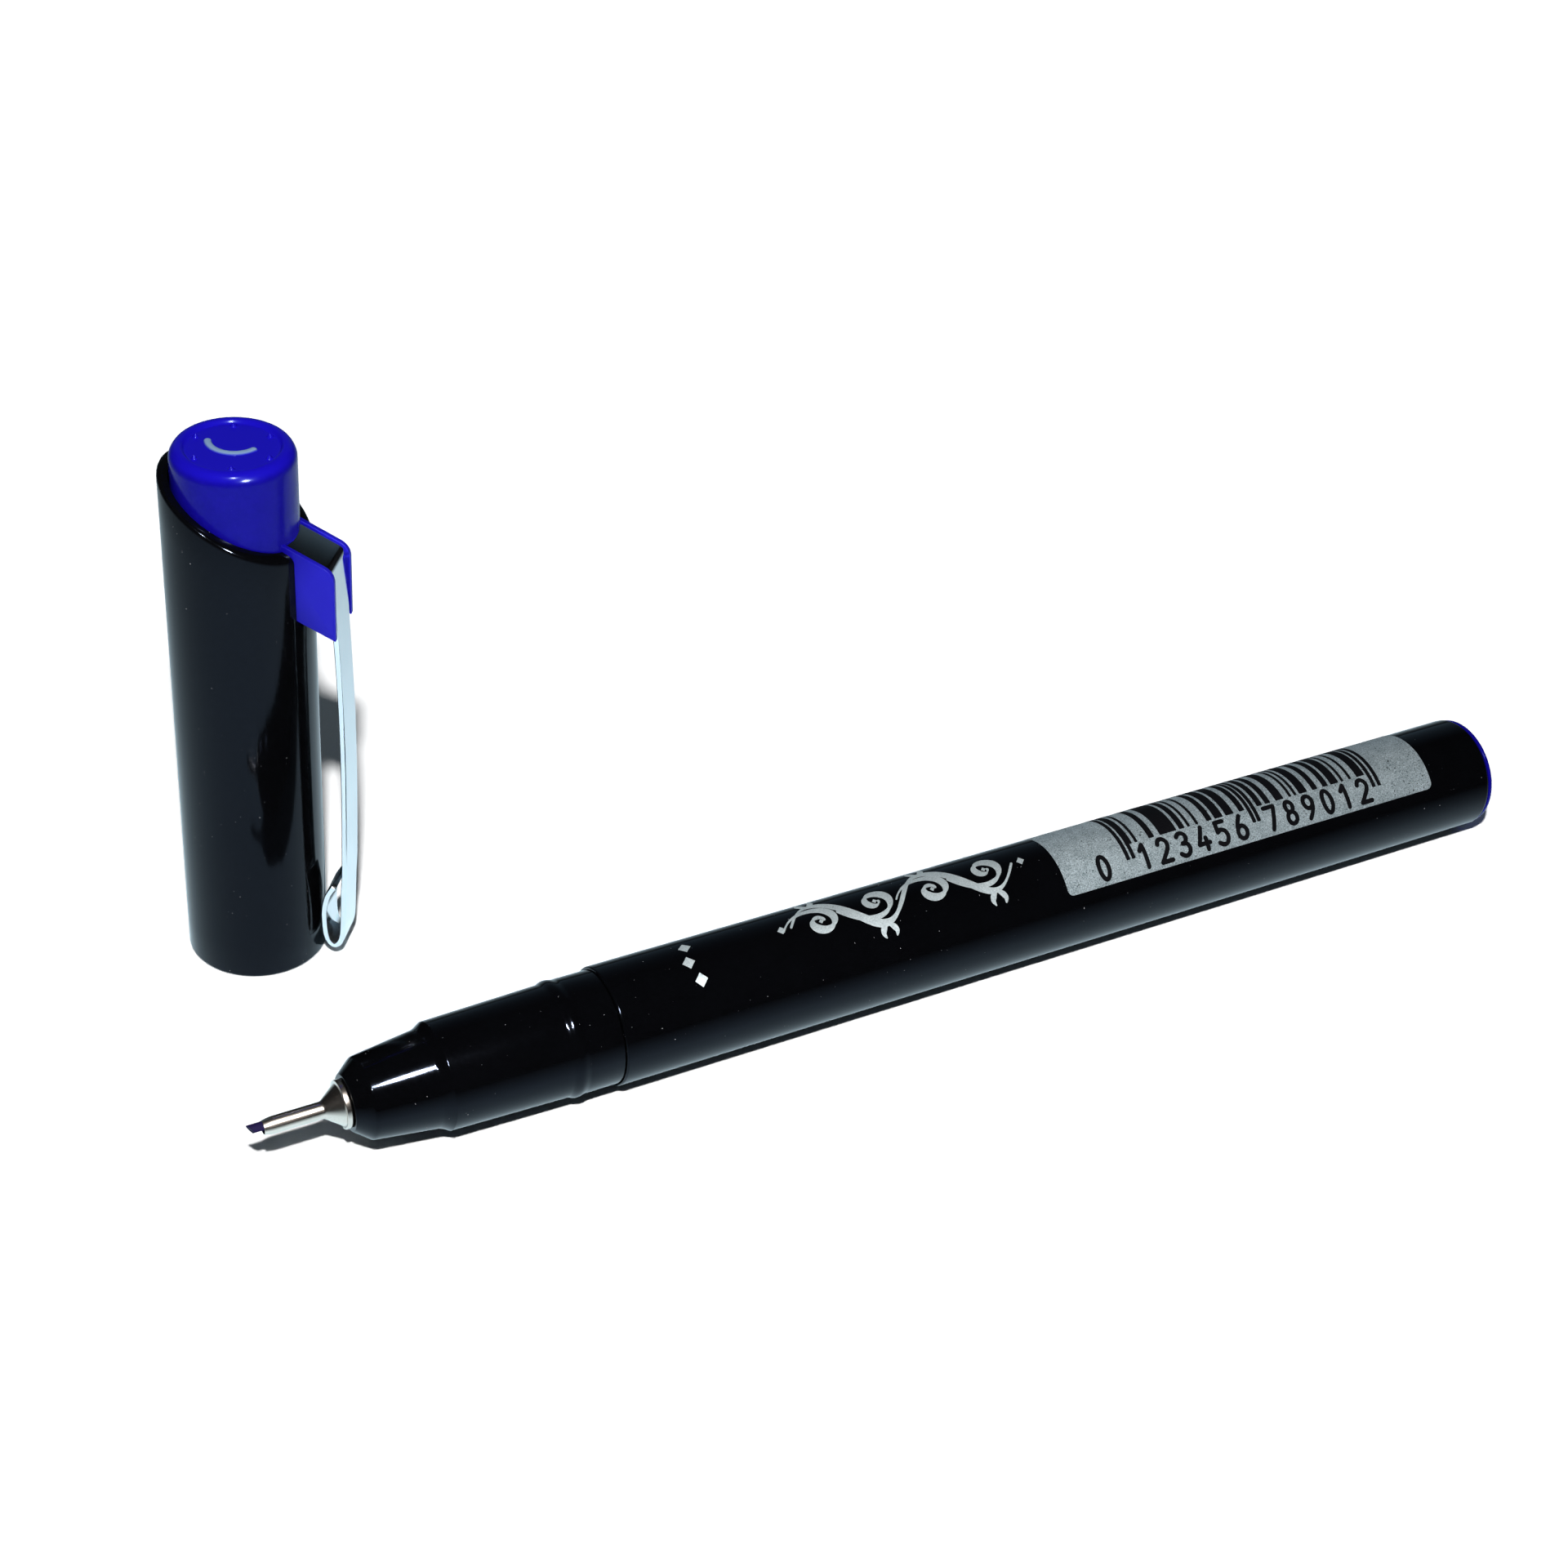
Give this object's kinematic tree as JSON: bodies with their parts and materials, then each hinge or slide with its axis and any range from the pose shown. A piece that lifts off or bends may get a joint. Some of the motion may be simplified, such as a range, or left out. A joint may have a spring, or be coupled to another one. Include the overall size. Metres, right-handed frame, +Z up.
{
  "type": "calligraphy pen",
  "caption": "Slim fibre-tip calligraphy pen with a chisel nib in a plated ferrule, lying beside its clipped cap, which stands on its open mouth.",
  "frame": {"origin": "bottom centre of the box round the pen and its cap, on the surface they lie and stand on", "axes": "+X from the nib to the tail of the pen, +Y from the pen to the standing cap, +Z up"},
  "size_m": [0.1184, 0.0386, 0.0477],
  "materials": {
    "black_plastic": "moulded, polished, nearly black",
    "blue_plastic": "moulded, semi-gloss deep blue",
    "plated_metal": "bright plated",
    "inked_fibre": "pressed fibre soaked in dark violet ink",
    "white_fibre": "bundled fibre",
    "clear_film": "thin clear film",
    "milky_plastic": "soft translucent moulding",
    "silver_print": "fine-grained silver ink printed on the barrel",
    "black_print": "black ink printed over the silver panel"
  },
  "bodies": {
    "pen": {"barrel": "black_plastic", "tail_plug": "blue_plastic", "front_section": "black_plastic", "nib_ferrule": "plated_metal", "nib": "inked_fibre", "ink_reservoir": "white_fibre", "reservoir_wrap": "clear_film"},
    "cap": {"cap_tube": "black_plastic", "cap_insert": "blue_plastic", "cap_liner": "milky_plastic"},
    "clip": {"clip": "plated_metal"}
  },
  "joints": [
    {"name": "cap_lift", "type": "slide", "parent": "pen", "child": "cap", "axis": [0, 0, 1], "range_m": [0, 0.06]},
    {"name": "clip_flex", "type": "hinge", "parent": "cap", "child": "clip", "pos_m": [-0.04493, 0.01073, 0.04036], "axis": [-0.6252, -0.7804, 0], "range_deg": [0, 4], "stiffness_Nm_per_rad": 0.3}
  ]
}
